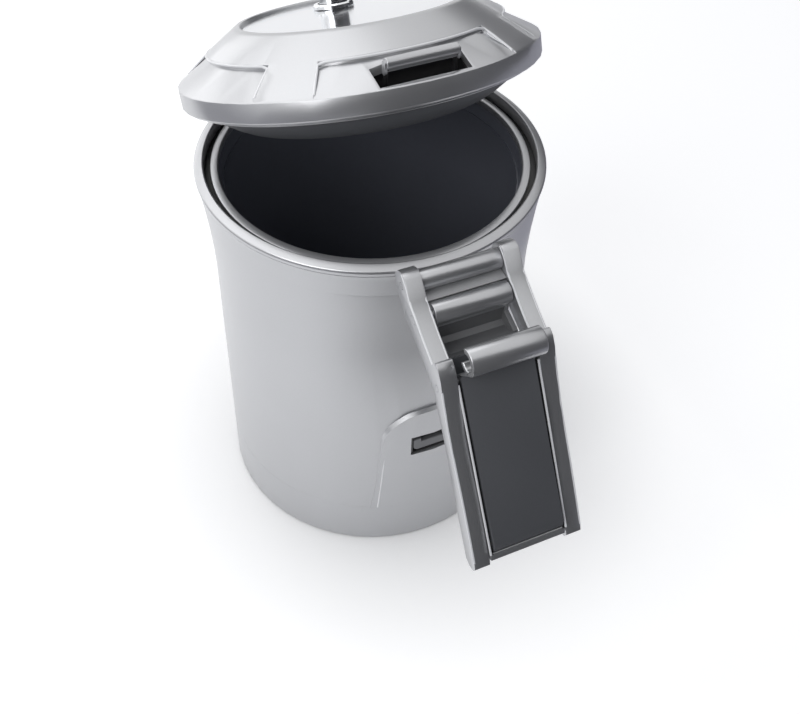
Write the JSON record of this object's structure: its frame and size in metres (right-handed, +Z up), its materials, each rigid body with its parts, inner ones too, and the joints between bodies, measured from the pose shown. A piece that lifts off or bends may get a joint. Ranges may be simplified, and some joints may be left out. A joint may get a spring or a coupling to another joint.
{
  "type": "vacuum canister",
  "caption": "Waisted round storage canister with hinged lid, push-down air pump, swing-out front handle with grip lever, and a dark inner cup.",
  "frame": {"origin": "centre of the underside of the base pad, on the body's axis", "axes": "+Z up along the body's axis, handle towards -Y, lid hinge towards +Y"},
  "size_m": [0.136, 0.2235, 0.2372],
  "materials": {
    "silver": "satin silver paint",
    "polished": "polished",
    "chrome": "mirror",
    "liner": "gloss",
    "dark_grey": "satin",
    "black": "satin",
    "rubber": "matte",
    "seal": "translucent",
    "steel": "bright"
  },
  "bodies": {
    "body": {"outer_shell": "silver", "base_ring": "silver", "base_plate": "dark_grey", "base_pad": "rubber", "rim_collar": "silver", "liner": "liner", "trim_ring": "polished", "recess_pocket": "black", "hinge_bracket": "silver", "hinge_pin": "steel", "front_bracket": "silver"},
    "tongue": {"release_tongue": "dark_grey"},
    "handle": {"left_arm": "silver", "right_arm": "silver", "crossbar": "silver", "crossbar_pin": "steel", "handle_pin": "steel", "lever_pin": "steel", "grip_back": "silver"},
    "grip": {"grip_plate": "dark_grey", "hook_roll": "silver"},
    "lid": {"lid_shell": "silver", "lid_disc": "polished", "lid_plug": "dark_grey", "lid_seal": "seal", "window_tray": "black", "lid_hinge_arm": "silver", "catch_pin": "steel", "knob_collar": "chrome", "pump_barrel": "dark_grey", "check_valve": "seal", "pump_spring": "steel"},
    "catch": {"catch_bar": "silver"},
    "knob": {"pump_knob": "chrome", "pump_piston": "dark_grey", "piston_seal": "rubber"}
  },
  "joints": [
    {"name": "lid_hinge", "type": "hinge", "parent": "body", "child": "lid", "pos_m": [0, 0.0723, 0.1626], "axis": [-1, 0, 0], "range_deg": [-22.7, 65]},
    {"name": "handle_swing", "type": "hinge", "parent": "body", "child": "handle", "pos_m": [0, -0.0874, 0.1669], "axis": [-1, 0, 0], "range_deg": [-40, 15]},
    {"name": "grip_squeeze", "type": "hinge", "parent": "handle", "child": "grip", "pos_m": [0, -0.1074, 0.1537], "axis": [1, 0, 0], "range_deg": [0, 2.5], "stiffness_Nm_per_rad": 0.5, "springref_deg": -2.86},
    {"name": "catch_tilt", "type": "hinge", "parent": "lid", "child": "catch", "pos_m": [0, -0.04192, 0.22512], "axis": [-1, 0, 0], "range_deg": [0, 18], "stiffness_Nm_per_rad": 0.02, "springref_deg": -5.73},
    {"name": "knob_press", "type": "slide", "parent": "lid", "child": "knob", "axis": [0, -0.3859, -0.9225], "range_m": [0, 0.006], "stiffness_N_per_m": 250, "springref_m": -0.002, "deforming": ["pump_spring"]},
    {"name": "tongue_press", "type": "slide", "parent": "body", "child": "tongue", "axis": [0, 1, 0], "range_m": [0, 0.0012], "stiffness_N_per_m": 300, "springref_m": -0.001}
  ]
}
